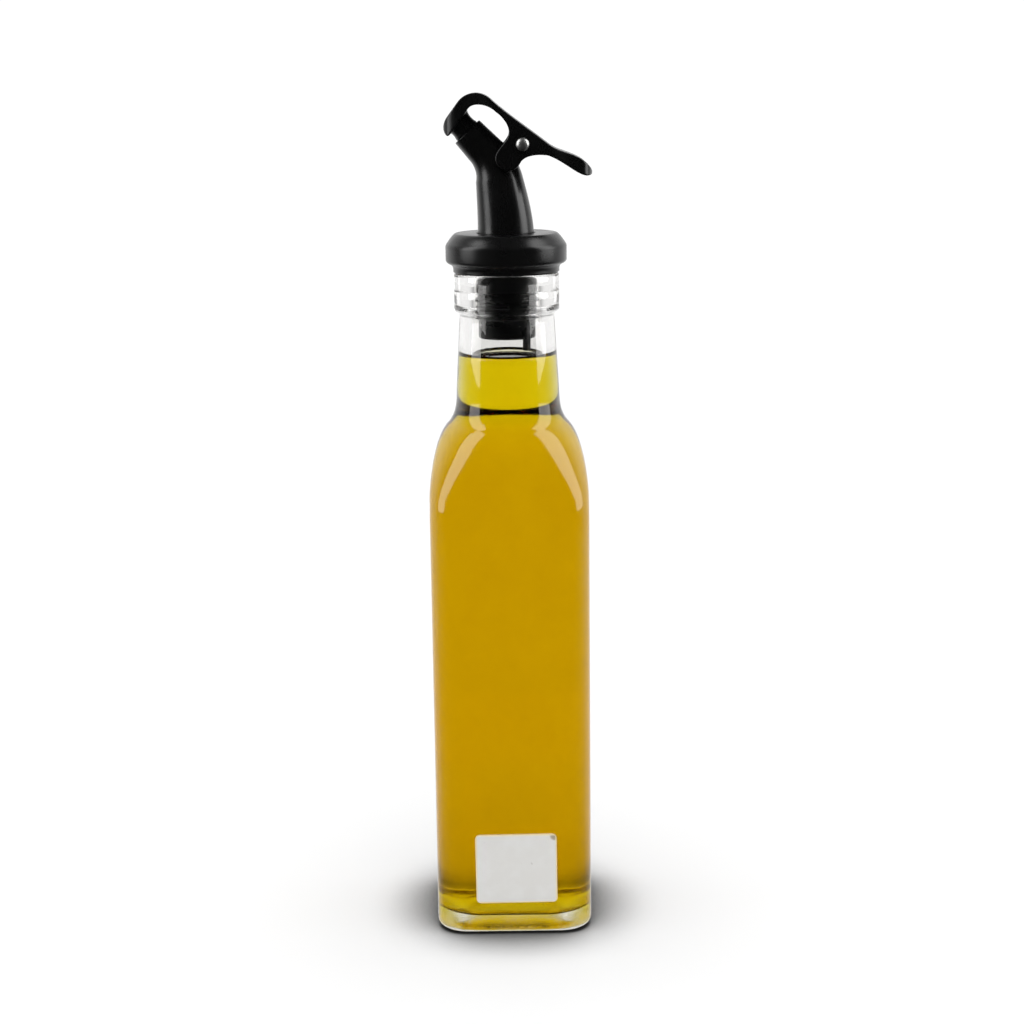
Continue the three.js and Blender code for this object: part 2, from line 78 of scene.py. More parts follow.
# %% [markdown]
# ## The studio
# A black and golden object on white is lit mostly by what stands around it. The backdrop behind the
# bottle is white, so that the oil glows and the glass keeps thin dark edges. The room in front of it is
# dark, so that the front of the glass and of the black plastic shows no veil. Two tall soft boxes, one
# on each side, draw the long pale streaks on the spout and the collar. Cards and curtains could do the
# first two jobs, as in a real studio, but they would stand in the way of every other view. So the sky
# does them. It asks which kind of ray is looking: it is white to the eye and through the glass, and for
# reflections it fades from white at the back to nearly black in front. What lights dull surfaces comes
# mostly from overhead, and little of it reaches the floor through the bottle, which keeps the shadow.

# %% Sky with a bright back and a dark front
TOP_LIGHT = 1.62         # how strongly the sky overhead lights dull surfaces
BACK_GLOW = 1.0          # what a reflection sees behind the bottle
FRONT_GLOW = 0.012       # and in front of it
THROUGH_GLOW = 0.12      # how much light reaches the floor through the bottle
BACKDROP = 1.05          # what the eye sees beside the bottle
FADE_SPAN = (0.05, 0.75)         # how far back a direction points where the glow begins and is full
OVERHEAD_SPAN = (0.1, 0.9)       # and how far up, for the light from overhead

sky = bpy.data.worlds.new("studio")
scene.world = sky
sky.use_nodes = True
sky_nodes = sky.node_tree.nodes
sky_links = sky.node_tree.links
background = sky_nodes["Background"]
ray = sky_nodes.new("ShaderNodeLightPath")
direction = sky_nodes.new("ShaderNodeTexCoord")
depth = sky_nodes.new("ShaderNodeSeparateXYZ")
sky_links.new(direction.outputs["Generated"], depth.inputs[0])


def sky_slope(axis, span, low, high):
    """A brightness that rises smoothly from low to high along one axis of the direction."""
    slope = sky_nodes.new("ShaderNodeMapRange")
    slope.interpolation_type = "SMOOTHSTEP"
    slope.inputs["From Min"].default_value, slope.inputs["From Max"].default_value = span
    slope.inputs["To Min"].default_value, slope.inputs["To Max"].default_value = low, high
    sky_links.new(depth.outputs[axis], slope.inputs["Value"])
    return slope.outputs["Result"]


def sky_choice(ray_kind, for_it, otherwise):
    """A brightness that applies to one kind of ray, and another for all the rest."""
    mix = sky_nodes.new("ShaderNodeMix")
    mix.clamp_factor = True
    sky_links.new(ray.outputs[ray_kind], mix.inputs["Factor"])
    for socket, value in ((mix.inputs["A"], otherwise), (mix.inputs["B"], for_it)):
        if isinstance(value, (int, float)):
            socket.default_value = value
        else:
            sky_links.new(value, socket)
    return mix.outputs["Result"]


overhead = sky_slope("Z", OVERHEAD_SPAN, 0, TOP_LIGHT)
brightness = sky_choice("Is Transmission Ray", 1.0, overhead)
brightness = sky_choice("Glossy Depth", sky_slope("Y", FADE_SPAN, FRONT_GLOW, BACK_GLOW), brightness)
on_floor = sky_choice("Is Transmission Ray", THROUGH_GLOW, overhead)
brightness = sky_choice("Diffuse Depth", on_floor, brightness)
brightness = sky_choice("Is Camera Ray", BACKDROP, brightness)
sky_links.new(brightness, background.inputs["Strength"])
background.inputs["Color"].default_value = (1, 1, 1, 1)
sky.cycles.sampling_method = "NONE"
scene.view_settings.view_transform = "Standard"
scene.cycles.max_bounces = 24
scene.cycles.transmission_bounces = 24
scene.cycles.glossy_bounces = 12
print("sky: front", FRONT_GLOW, "back", BACK_GLOW)

# %% [markdown]
# A soft box is an area light. The camera doesn't see it and dull surfaces don't take light from it,
# because only its reflection is wanted, and so the bottle can be looked at from every side. Its lower
# edge hangs above the floor, so that the upright walls of the body don't mirror it and only the
# shoulder, the neck and the black parts do. A third, weaker box in front lights the label.

# %% Soft boxes
def soft_box(name, azimuth, distance, width, height, middle_z, glow):
    """A rectangular light at an azimuth from the camera's side, turned to face the bottle."""
    data = bpy.data.lights.new(name, "AREA")
    data.shape = "RECTANGLE"
    data.size, data.size_y = width, height
    data.energy = glow * math.pi * width * height
    lamp = bpy.data.objects.new(name, data)
    scene.collection.objects.link(lamp)
    turn = math.radians(azimuth)
    lamp.location = (distance * math.sin(turn), -distance * math.cos(turn), middle_z)
    facing = Vector((0, 0, middle_z * 0.8)) - lamp.location
    lamp.rotation_euler = facing.to_track_quat("-Z", "Y").to_euler()
    lamp.visible_camera = False
    lamp.visible_diffuse = False
    return lamp


BOX_DISTANCE, BOX_HEIGHT, BOX_MIDDLE_Z, BOX_GLOW = 0.9, 1.4, 0.80, 3.3
left_box = soft_box("soft_box_left", -78, BOX_DISTANCE, 0.50, BOX_HEIGHT, BOX_MIDDLE_Z, BOX_GLOW)
right_box = soft_box("soft_box_right", 86, BOX_DISTANCE, 0.58, BOX_HEIGHT, BOX_MIDDLE_Z, BOX_GLOW)
front_fill = soft_box("front_fill", 8, 1.2, 1.0, 0.8, 0.9, 0.9)
front_fill.visible_diffuse = True
front_fill.visible_glossy = False
front_fill.visible_transmission = False
print("lights:", left_box.name, right_box.name, front_fill.name)

# %% [markdown]
# The floor is a wide pale disc, which isn't part of the object. It is just bright enough to meet the white of
# the backdrop, and the bottle's soft shadow is all that shows of it.
# The wide light of the sky alone leaves that shadow too weak where glass meets floor. So the paint asks, with
# an ambient occlusion node, how much stands close by, and darkens there: close to the bottle the shadow is
# partly a painted shadow in the floor's colour.

# %% Floor
FLOOR_RADIUS = 12
FLOOR_MIDDLE = (0, 11.8, -0.0002)        # most of it lies behind the bottle
# the floor's own white, and the near-black of the painted shadow at the bottle's foot
FLOOR_WHITE, SHADOW_DARK = 0.90, 0.04
SHADOW_REACH = 0.027                     # metres
OPENNESS = (0.41, 0.90)                  # open share of the surroundings, from darkest to white

bpy.ops.mesh.primitive_circle_add(vertices=96, radius=FLOOR_RADIUS, fill_type="NGON", location=FLOOR_MIDDLE)
floor = bpy.context.object
floor.name = "pale_floor"
floor_paint = bpy.data.materials.new("pale_floor_paint")
floor_paint.use_nodes = True
floor_shader = floor_paint.node_tree.nodes["Principled BSDF"]
floor_shader.inputs["Roughness"].default_value = 0.9
floor_shader.inputs["Specular IOR Level"].default_value = 0.0
nearby = floor_paint.node_tree.nodes.new("ShaderNodeAmbientOcclusion")
nearby.inputs["Distance"].default_value = SHADOW_REACH
nearby.samples = 12
# painted contact shadow: the floor colour falls from white to near black where the AO node finds the bottle
# close by
painted_contact_shadow = floor_paint.node_tree.nodes.new("ShaderNodeMapRange")
painted_contact_shadow.inputs["From Min"].default_value, painted_contact_shadow.inputs["From Max"].default_value = OPENNESS
painted_contact_shadow.inputs["To Min"].default_value, painted_contact_shadow.inputs["To Max"].default_value = SHADOW_DARK, FLOOR_WHITE
floor_paint.node_tree.links.new(nearby.outputs["AO"], painted_contact_shadow.inputs["Value"])
floor_paint.node_tree.links.new(painted_contact_shadow.outputs["Result"], floor_shader.inputs["Base Color"])
floor.data.materials.append(floor_paint)
floor.visible_glossy = False
print("floor radius, m:", FLOOR_RADIUS)

# %% [markdown]
# ## Curves and skins
# Almost everything here is a turned shape: a profile swept round an axis, with its rings bent a little
# where the real section isn't a circle. A Bezier curve gives a smooth profile from a few sizes. A skin
# then joins a stack of rings with quads. A ring of one point closes the stack at the axis.

# %% Bezier curves and skins
def bend(steps, *controls):
    """Points of a Bezier curve with three or four controls, without its first point."""
    points = []
    for i in range(1, steps + 1):
        t, layer = i / steps, [Vector(c) for c in controls]
        while len(layer) > 1:
            layer = [a.lerp(b, t) for a, b in zip(layer, layer[1:])]
        points.append(layer[0])
    return points


def skin(name, rings, looped=False):
    """A smooth closed mesh over a stack of rings, in millimetres; looped joins the last to the first."""
    vertices, starts = [], []
    for ring in rings:
        starts.append((len(vertices), len(ring)))
        vertices += [Vector(p) * MM for p in ring]
    faces = []
    pairs = list(zip(starts, starts[1:])) + ([(starts[-1], starts[0])] if looped else [])
    for (a, na), (b, nb) in pairs:
        count = max(na, nb)
        for i in range(count):
            j = (i + 1) % count
            corners = [a + i % na, a + j % na, b + j % nb, b + i % nb]
            faces.append(list(dict.fromkeys(corners)))
    mesh = bpy.data.meshes.new(name)
    mesh.from_pydata(vertices, [], [f for f in faces if len(f) > 2])
    shape = bmesh.new()
    shape.from_mesh(mesh)
    bmesh.ops.recalc_face_normals(shape, faces=shape.faces)
    shape.to_mesh(mesh)
    shape.free()
    mesh.shade_smooth()
    piece = bpy.data.objects.new(name, mesh)
    scene.collection.objects.link(piece)
    return piece


def round_ring(radius, z, sides, centre=(0, 0)):
    """A level circle of points, or one point where the radius is nothing."""
    if radius < 1e-6:
        return [(centre[0], centre[1], z)]
    turns = [2 * math.pi * i / sides for i in range(sides)]
    return [(centre[0] + radius * math.cos(t), centre[1] + radius * math.sin(t), z) for t in turns]


def turned(name, profile, sides, looped=False, centre=(0, 0)):
    """A lathe shape from a profile of radius and height."""
    return skin(name, [round_ring(r, z, sides, centre) for r, z in profile], looped)


print("half way along a test curve:", bend(2, (0, 0), (1, 0), (1, 1))[0])

# %% [markdown]
# A finish is a node tree. Three small helpers keep every recipe below short: one starts a material, one
# adds a node with its settings, and one makes noise in the object's own space, so that the pattern stays
# on the piece when the camera moves.

# %% Finish helpers
class Finish:
    """A material with its tree, its main shader, and short ways to add nodes."""

    def __init__(self, name, **sockets):
        self.material = bpy.data.materials.new(name)
        self.material.use_nodes = True
        self.tree = self.material.node_tree
        self.shader = self.tree.nodes["Principled BSDF"]
        self.output = self.tree.nodes["Material Output"]
        for key, value in sockets.items():
            self.shader.inputs[key.replace("_", " ")].default_value = value
        place = self.tree.nodes.new("ShaderNodeTexCoord")
        self.place = place.outputs["Object"]

    def add(self, kind, settings=None, **links):
        """A node; a link's value is either a number, a colour or another node's socket."""
        new = self.tree.nodes.new("ShaderNode" + kind)
        for key, value in (settings or {}).items():
            setattr(new, key, value)
        for key, value in links.items():
            socket = new.inputs[key.replace("_", " ")]
            if isinstance(value, bpy.types.NodeSocket):
                self.tree.links.new(value, socket)
            else:
                socket.default_value = value
        return new

    def link(self, source, target):
        self.tree.links.new(source, target)

    def speckle(self, per_metre, detail=4, stretch=(1, 1, 1)):
        """Grey noise with so many grains to the metre."""
        mapping = self.add("Mapping", Vector=self.place, Scale=stretch)
        cloud = self.add("TexNoise", Vector=mapping.outputs[0], Scale=per_metre, Detail=detail)
        return cloud.outputs["Fac"]

    def scaled(self, source, low, high, smooth=False, start=0.0, stop=1.0):
        """The source stretched from start..stop to low..high."""
        ramp = self.add("MapRange", Value=source)
        for key, value in (("From Min", start), ("From Max", stop), ("To Min", low), ("To Max", high)):
            ramp.inputs[key].default_value = value
        ramp.interpolation_type = "SMOOTHSTEP" if smooth else "LINEAR"
        return ramp.outputs["Result"]

    def blend(self, amount, low, high):
        """A colour between two colours."""
        mix = self.add("Mix", {"data_type": "RGBA"})
        self.link(amount, mix.inputs["Factor"])
        for socket, value in ((mix.inputs[6], low), (mix.inputs[7], high)):
            if isinstance(value, bpy.types.NodeSocket):
                self.link(value, socket)
            else:
                socket.default_value = value
        return mix.outputs[2]

    def relief(self, height, distance, strength=1.0):
        """A bump of so many metres from a grey height."""
        bump = self.add("Bump", Height=height, Distance=distance, Strength=strength)
        self.link(bump.outputs[0], self.shader.inputs["Normal"])


print("helpers ready")

# %% [markdown]
# ## The glass bottle
# A square bottle is blown into a two-part mould. Its walls are flat, its upright edges are round, and
# the shoulder runs from that square into the round neck. A subdivided cube could be pushed to this
# shape, but the exact sizes would be lost. Instead each ring of a lathe is bent to a rounded square
# low down and left a circle in the neck, and one rule slides between the two. The wall has real
# thickness, because the thick heel and the clear rim of glass are what make it read as glass.

# %% From a square to a circle
QUARTER = math.pi / 2
SIDES = 224
BODY_CORNER, CAVITY_CORNER = 0.36, 0.28     # corner radius as a share of the half width
CAVITY_FOOT_ROUNDNESS = 0.2
SHOULDER_SPAN = (130, 158)                  # here the square turns into a circle
FOOT_SPAN = (4.2, 18)                       # and here the rounder foot of the inside ends
CORNER_CROWDING = 0.11                      # how much closer the points stand round a corner


def smooth_step(value, low, high):
    t = min(1.0, max(0.0, (value - low) / (high - low)))
    return t * t * (3 - 2 * t)


def section_ring(half, z, corner_share, ridge=0.0, foot=0.0):
    """One ring of the bottle: half is half its width, and the corners are rounder higher up."""
    if half < 1e-6:
        return [(0, 0, z)]
    roundness = smooth_step(z, *SHOULDER_SPAN) + foot * (1 - smooth_step(z, *FOOT_SPAN))
    corner = half * (corner_share + (1 - corner_share) * roundness)
    centre = (half - corner) * math.sqrt(2)
    ring = []
    for i in range(SIDES):
        turn = 2 * math.pi * i / SIDES
        angle = turn + CORNER_CROWDING * math.sin(4 * turn)
        within = angle % QUARTER
        side = min(within, QUARTER - within)
        if side < math.atan2(half - corner, half):
            radius = half / math.cos(side)
        else:
            off = within - QUARTER / 2
            radius = centre * math.cos(off) + math.sqrt(max(0, corner**2 - (centre * math.sin(off)) ** 2))
        if ridge:
            radius += ridge * seam(angle)
        ring.append((radius * math.cos(angle), radius * math.sin(angle), z))
    return ring


widest = max(p[0] for p in section_ring(23.8, 60, BODY_CORNER))
print("half width of a body ring, mm:", round(widest, 2))

# %% [markdown]
# The mould leaves a fine seam where its two halves meet. It is seen on the neck, a little left of the
# middle, and again on the far side. It is built as a low ridge in the mesh, because a ridge bends the
# light through clear glass and a painted line wouldn't.

# %% Mould seam
SEAM_TURN = math.radians(-112)
SEAM_WIDTH = 0.035       # radians
SEAM_HEIGHT = 0.05
SEAM_SPAN = (150, 160)   # it rises out of the shoulder here and runs up to the mouth


def seam(angle):
    """1 on the seam line and 0 away from it, on both sides of the bottle."""
    off = (angle - SEAM_TURN + QUARTER) % math.pi - QUARTER
    return math.exp(-((off / SEAM_WIDTH) ** 2))


print("seam height at its line and beside it:", seam(SEAM_TURN), round(seam(SEAM_TURN + 0.1), 4))

# %% [markdown]
# The outer profile starts under the pushed-up middle of the base, goes round the heel, up the wall and
# over the shoulder, and ends on the mouth. The ring round the mouth has two thin grooves. The inner
# profile is a function of its own, because the oil needs the same curve a little further out.

# %% Profiles of the glass
WALL_HALF, CAVITY_HALF = 23.8, 21.0
HEEL_HEIGHT, SHOULDER_FOOT = 3.0, 136
BASE_PUSH = 1.8              # how far the middle of the base is pushed up
RING_RADIUS = 15.7
MOUTH, MOUTH_BORE, LIP_FOOT = 201.1, 9.6, 199.8
CAVITY_FLOOR, CAVITY_MIDDLE = 4.2, 6.0
NECK_Z, NECK_BORE = 166, 11.2


def groove(z, deep):
    """A thin groove round the mouth ring, from the wall in and back out."""
    edge, inner = RING_RADIUS - 0.03, RING_RADIUS - deep
    return [(RING_RADIUS, z - 0.45),
            *bend(5, (RING_RADIUS, z - 0.45), (edge, z - 0.25), (inner, z)),
            *bend(5, (inner, z), (edge, z + 0.25), (RING_RADIUS, z + 0.45))]


def outer_profile():
    return [
        (0, BASE_PUSH),
        *bend(10, (0, BASE_PUSH), (12.25, BASE_PUSH), (17.5, 0)),
        *bend(3, (17.5, 0), (19.1, 0), (20.8, 0)),
        *bend(10, (20.8, 0), (WALL_HALF, 0), (WALL_HALF, HEEL_HEIGHT)),
        *bend(24, (WALL_HALF, HEEL_HEIGHT), (WALL_HALF, 60), (WALL_HALF, SHOULDER_FOOT)),
        *bend(26, (WALL_HALF, SHOULDER_FOOT), (23.3, 147.2), (20.6, 153.6), (18.0, 156.2)),
        *bend(20, (18.0, 156.2), (16.4, 158.2), (15.5, 160.5), (15.5, NECK_Z)),
        *bend(12, (15.5, NECK_Z), (14.8, 177.5), (14.2, 188.1)),
        *bend(8, (14.2, 188.1), (14.2, 189.6), (15.2, 189.7)),
        *bend(5, (15.2, 189.7), (RING_RADIUS, 189.75), (RING_RADIUS, 190.4)),
        *groove(191.75, 0.22), (RING_RADIUS, 193.6), *groove(196.15, 0.25), (RING_RADIUS, 198.4),
        (RING_RADIUS, LIP_FOOT), *bend(8, (RING_RADIUS, LIP_FOOT), (RING_RADIUS, MOUTH), (14.5, MOUTH)),
        (12.6, MOUTH), (10.9, MOUTH),
    ]


def cavity_profile(out, top):
    """The inside of the glass from the middle of the floor up to a height, moved out by a margin."""
    wall, floor_z, foot = CAVITY_HALF + out, CAVITY_FLOOR - out, CAVITY_HALF + out - 7
    neck = NECK_BORE + out
    upper = neck + (MOUTH_BORE - NECK_BORE) * (top - NECK_Z) / (MOUTH - NECK_Z)
    return [
        (0, CAVITY_MIDDLE - out),
        *bend(10, (0, CAVITY_MIDDLE - out), (foot * 0.6, CAVITY_MIDDLE - out), (foot, floor_z)),
        *bend(14, (foot, floor_z), (wall, floor_z), (wall, floor_z + 4.8)),
        *bend(10, (wall, floor_z + 4.8), (wall, 14), (wall, 18)),
        *bend(16, (wall, 18), (wall, 70), (wall, 132)),
        *bend(24, (wall, 132), (wall - 0.4, 146), (17.4 + out, 150.6), (13.6 + out, 154.6)),
        *bend(16, (13.6 + out, 154.6), (12.0 + out, 156.8), (11.3 + out, 160), (neck, NECK_Z)),
        *bend(8, (neck, NECK_Z), ((neck + upper) / 2, (NECK_Z + top) / 2), (upper, top)),
    ]


print("bore at the oil, mm:", round(cavity_profile(0, 176)[-1][0], 2))

# %% Glass wall
def inside_ring(radius, z):
    """A ring of the inside of the glass, or of the oil that fills it."""
    return section_ring(radius, z, CAVITY_CORNER, 0, CAVITY_FOOT_ROUNDNESS)


glass_rings = [section_ring(r, z, BODY_CORNER, SEAM_HEIGHT * smooth_step(z, *SEAM_SPAN))
               for r, z in outer_profile()]
lip = bend(4, (10.9, MOUTH), (MOUTH_BORE, MOUTH), (MOUTH_BORE, LIP_FOOT))
glass_rings += [inside_ring(r, z) for r, z in lip]
glass_rings += [inside_ring(r, z) for r, z in reversed(cavity_profile(0, LIP_FOOT)[:-1])]
glass = skin("glass_bottle_wall", glass_rings)
print("glass:", len(glass.data.polygons), "faces,", len(glass_rings), "rings")

# %% [markdown]
# Clear bottle glass bends light by about one and a half, and it keeps a little of what passes through. A
# volume could do that, but a volume in the wall and another in the oil, where the two overlap, confuse
# the renderer about which one a ray has left. So the wall's faint warm grey is its surface colour. Blown
# walls are never quite flat: a very low, wide bump makes the edges waver, and a fine cloud in the
# roughness gives the wiped look of a handled bottle.

# %% Clear glass
clear_glass = Finish("clear_flint_glass", Transmission_Weight=1.0, IOR=1.5, Roughness=0.0,
                     Base_Color=(1, 1, 1, 1))
waver = clear_glass.speckle(38, 2, (1, 1, 0.45))
wiped = clear_glass.speckle(420, 5)
clear_glass.link(clear_glass.scaled(wiped, 0.0, 0.03, True, 0.45, 0.75),
                 clear_glass.shader.inputs["Roughness"])
clear_glass.relief(waver, 0.0006, 0.35)
clear_glass.link(clear_glass.blend(wiped, (0.878, 0.873, 0.862, 1), (0.898, 0.893, 0.882, 1)),
                 clear_glass.shader.inputs["Base Color"])
print("glass finish:", clear_glass.material.name)

# %% [markdown]
# Two parts of the glass need a finish of their own. Where oil wets the inside, glass and oil bend light
# almost alike and the wall hardly mirrors anything. The oil overlaps the wall here, so a mirror left on
# would show as a white veil, and its tint is set to black. Bottle moulds are often stippled under the
# heel. A rougher finish there scatters the light and hides the sharp corners of the thick base.

# %% Wetted glass and stippled foot
OIL_LEVEL = 175.8
WETTED_FROM = 4.25           # just over the lowest points of the inside
BASE_INSIDE_TO = 12          # the floor of the inside, as far as its rounding, lies below this
FOOT_TO = 2.2                # and the underside of the base below this

wetted_glass = clear_glass.material.copy()
wetted_glass.name = "glass_wetted_by_oil"
wetted_glass.node_tree.nodes["Principled BSDF"].inputs["Specular Tint"].default_value = (0, 0, 0, 1)
stippled_foot = Finish("stippled_foot_glass", Transmission_Weight=1.0, IOR=1.5,
                       Base_Color=(0.86, 0.86, 0.84, 1))
stipple = stippled_foot.speckle(1500, 4)
stippled_foot.link(stippled_foot.scaled(stipple, 0.06, 0.26), stippled_foot.shader.inputs["Roughness"])
stippled_foot.relief(stipple, 0.0001, 0.5)
for coat in (clear_glass.material, wetted_glass, stippled_foot.material):
    glass.data.materials.append(coat)


def glass_coat(face):
    """0 for dry glass, 1 for glass against the oil, 2 for the stippled foot."""
    z = face.center.z / MM
    inward = face.normal.x * face.center.x + face.normal.y * face.center.y < 0
    base_inside = face.normal.z > 0.5 and z < BASE_INSIDE_TO
    if WETTED_FROM < z < OIL_LEVEL and (inward or base_inside):
        return 1
    return 2 if face.normal.z < -0.35 and z < FOOT_TO else 0


for face in glass.data.polygons:
    face.material_index = glass_coat(face)
print("faces against the oil:", sum(face.material_index == 1 for face in glass.data.polygons))
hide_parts("glass_bottle")
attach(glass, "bottle")

# %% [markdown]
# ## The oil
# The oil fills the glass to a level in the neck. If it stopped exactly at the inner wall the two
# surfaces would flicker, and if it stopped short a film of air would show as a silver skin. So it reaches
# a little way into the wall. At the top it creeps up the glass in a small meniscus, which is the dark
# line that the photograph shows.

# %% Oil body
INTO_THE_WALL = 0.15
CREEP = 1.3              # how far the oil climbs the glass
MENISCUS_WIDTH = 2.3

oil_profile = cavity_profile(INTO_THE_WALL, OIL_LEVEL + CREEP)
edge = oil_profile[-1][0]
oil_profile += bend(12, (edge, OIL_LEVEL + CREEP), (edge - 0.45, OIL_LEVEL + 0.15),
                    (edge - MENISCUS_WIDTH, OIL_LEVEL))
oil_profile += [(edge * 0.5, OIL_LEVEL), (0, OIL_LEVEL)]
oil = skin("golden_oil_fill", [inside_ring(r, z) for r, z in oil_profile])
print("oil:", len(oil.data.polygons), "faces, level", OIL_LEVEL, "mm")

# %% [markdown]
# The colour of a liquid comes from how far light travels in it: pale gold across the narrow neck, deeper
# across the body. A volume that soaks up light does this by itself. The blue is gone within a few
# millimetres, and green goes more than twice as fast as red. The shares were set from the photograph's
# body and neck, which gives golden yellow and neither olive nor orange. The skin of the oil that touches
# glass mirrors nothing, like the glass there, and only its open surface in the neck keeps a reflection.

# %% Golden oil
golden_oil = Finish("golden_cooking_oil", Transmission_Weight=1.0, IOR=1.47, Roughness=0.0,
                    Base_Color=(1, 1, 1, 1))
drift = golden_oil.speckle(120, 3, (1, 1, 0.6))
golden_oil.link(golden_oil.blend(golden_oil.scaled(drift, 0, 1, True, 0.35, 0.7),
                                 (0.97, 0.955, 0.93, 1), (1, 1, 1, 1)),
                golden_oil.shader.inputs["Base Color"])
height = golden_oil.add("SeparateXYZ", Vector=golden_oil.place)
open_surface = golden_oil.scaled(height.outputs["Z"], 0, 1, False,
                                 (OIL_LEVEL - 0.1) * MM, (OIL_LEVEL - 0.05) * MM)
golden_oil.link(golden_oil.blend(open_surface, (0, 0, 0, 1), (1, 1, 1, 1)),
                golden_oil.shader.inputs["Specular Tint"])
soak = golden_oil.add("VolumeAbsorption", Color=(0.9727, 0.928, 0.0, 1), Density=300.0)
golden_oil.link(soak.outputs[0], golden_oil.output.inputs["Volume"])
oil.data.materials.append(golden_oil.material)
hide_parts("oil")
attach(oil, "bottle")
print("oil finish:", golden_oil.material.name)

# %% [markdown]
# ## The blank label
# A small white sticker is on the front, near the base. Like real stickers it has round corners, its cut edge
# is a little yellower than the middle, and one corner is scuffed down to the grey core. The sheet is a fine
# grid with its outline pulled to a rounded rectangle, so that the scuff can be pressed into the mesh and the
# rim can be rolled off.

# %% Label sheet
LABEL_SIZE = (24.8, 22.2)
LABEL_MIDDLE = (0.7, 21.5)
LABEL_TWIST = math.radians(-0.5)
LABEL_CORNER = 1.4
LABEL_FRONT = -24.22
LABEL_BACK = -23.78


def label_ring(inset, y):
    """The rounded outline of the label, moved in by an inset."""
    w, h = LABEL_SIZE[0] / 2 - inset, LABEL_SIZE[1] / 2 - inset
    r = max(0.05, LABEL_CORNER - inset)
    points = []
    for k in range(4):
        cx, cz = (w - r) * (1, -1, -1, 1)[k], (h - r) * (1, 1, -1, -1)[k]
        for i in range(13):
            t = QUARTER * (k + i / 12)
            points.append((cx + r * math.cos(t), cz + r * math.sin(t)))
        nx = (w - r) * (-1, -1, 1, 1)[k] + (0, -r, 0, r)[k]
        nz = (h - r) * (1, -1, -1, 1)[k] + (r, 0, -r, 0)[k]
        last = points[-1]
        points += [tuple(Vector(last).lerp(Vector((nx, nz)), j / 12)) for j in range(1, 12)]
    turn = Matrix.Rotation(-LABEL_TWIST, 2)
    placed = [turn @ Vector(p) for p in points]
    return [(p.x + LABEL_MIDDLE[0], y, p.y + LABEL_MIDDLE[1]) for p in placed]


label_rings = [[(LABEL_MIDDLE[0], LABEL_BACK, LABEL_MIDDLE[1])]]
label_rings += [label_ring(inset, y) for inset, y in (
    (0.02, LABEL_BACK), (0, LABEL_BACK - 0.05), (0, LABEL_FRONT + 0.12),
    (0.04, LABEL_FRONT + 0.05), (0.12, LABEL_FRONT + 0.01), (0.3, LABEL_FRONT))]
label_rings += [label_ring(0.6 + 0.6 * i, LABEL_FRONT) for i in range(18)]
label_rings += [[(LABEL_MIDDLE[0], LABEL_FRONT, LABEL_MIDDLE[1])]]
label = skin("blank_paper_label", label_rings)
print("label:", len(label.data.polygons), "faces")

# %% Scuffed corner
SCUFF = Vector((LABEL_MIDDLE[0] + 11.7, LABEL_MIDDLE[1] + 10.5)) * MM
SCUFF_REACH = (0.9, 1.7)         # fully worn up to the first distance, whole from the second
SCUFF_DEPTH, PAPER_WAVE = 0.12, 0.02

for vertex in label.data.vertices:
    if vertex.co.y < (LABEL_FRONT + 0.1) * MM:
        away = (Vector((vertex.co.x, vertex.co.z)) - SCUFF).length / MM
        vertex.co.y += SCUFF_DEPTH * MM * (1 - smooth_step(away, *SCUFF_REACH))
        vertex.co.y += PAPER_WAVE * MM * noise.noise(vertex.co * 260)
print("scuff centred at, mm:", [round(v / MM, 1) for v in SCUFF])

# %% [markdown]
# Sticker paper is nearly white, with faint grey clouds and a speck of dirt or two. The scuffed corner
# is a soft patch of beige around one point, and the rim is a shade warmer than the middle. Both are
# masks from position, so that they stay on the paper.

# %% Sticker paper
sticker = Finish("sticker_paper", Roughness=0.55)
clouds = sticker.speckle(230, 5)
paper = sticker.blend(sticker.scaled(clouds, 0, 1, True, 0.35, 0.72),
                      (0.86, 0.85, 0.82, 1), (0.89, 0.885, 0.86, 1))
grain = sticker.speckle(3800, 3)
fleck = sticker.scaled(sticker.speckle(620, 1), 0, 0.35, True, 0.74, 0.80)
paper = sticker.blend(fleck, paper, (0.42, 0.40, 0.36, 1))
middle = sticker.add("VectorMath", {"operation": "DISTANCE"}, Vector=sticker.place)
middle.inputs[1].default_value = (SCUFF.x, LABEL_FRONT * MM, SCUFF.y)
worn = sticker.scaled(middle.outputs["Value"], 1, 0, True, SCUFF_REACH[0] * MM, SCUFF_REACH[1] * MM)
paper = sticker.blend(worn, paper, (0.47, 0.40, 0.29, 1))
spot = sticker.add("SeparateXYZ", Vector=sticker.place)
for axis, middle_at, extent in zip("XZ", LABEL_MIDDLE, LABEL_SIZE):
    offset = sticker.add("Math", {"operation": "SUBTRACT"})
    sticker.link(spot.outputs[axis], offset.inputs[0])
    offset.inputs[1].default_value = middle_at * MM
    size = sticker.add("Math", {"operation": "ABSOLUTE"})
    sticker.link(offset.outputs[0], size.inputs[0])
    half = extent / 2
    rim = sticker.scaled(size.outputs[0], 0, 1, True, (half - 0.75) * MM, (half - 0.15) * MM)
    paper = sticker.blend(rim, paper, (0.97, 0.84, 0.55, 1))
sticker.link(paper, sticker.shader.inputs["Base Color"])
sticker.relief(grain, 0.00003, 0.6)
label.data.materials.append(sticker.material)
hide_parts("front_label")
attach(label, "bottle")
print("label finish:", sticker.material.name)

# %% [markdown]
# ## The stopper
# One rubber moulding does three jobs: the wide collar, the ring that sits on the mouth, and the ribbed
# plug that grips the bore. It is a lathe shape, so it is turned from one profile with every edge rolled
# over by a small radius. The ribs are soft and round. The air that replaces the poured oil comes in
# through a thin tube that hangs from the foot of the plug.

# %% Stopper body
COLLAR_TOP = 212.65


def rib(z):
    """One sealing rib of the plug, from its valley out and back."""
    return [*bend(5, (8.7, z), (9.5, z + 0.05), (9.5, z + 0.42)),
            *bend(5, (9.5, z + 0.42), (9.5, z + 0.8), (8.7, z + 0.98)), (8.7, z + 1.5)]


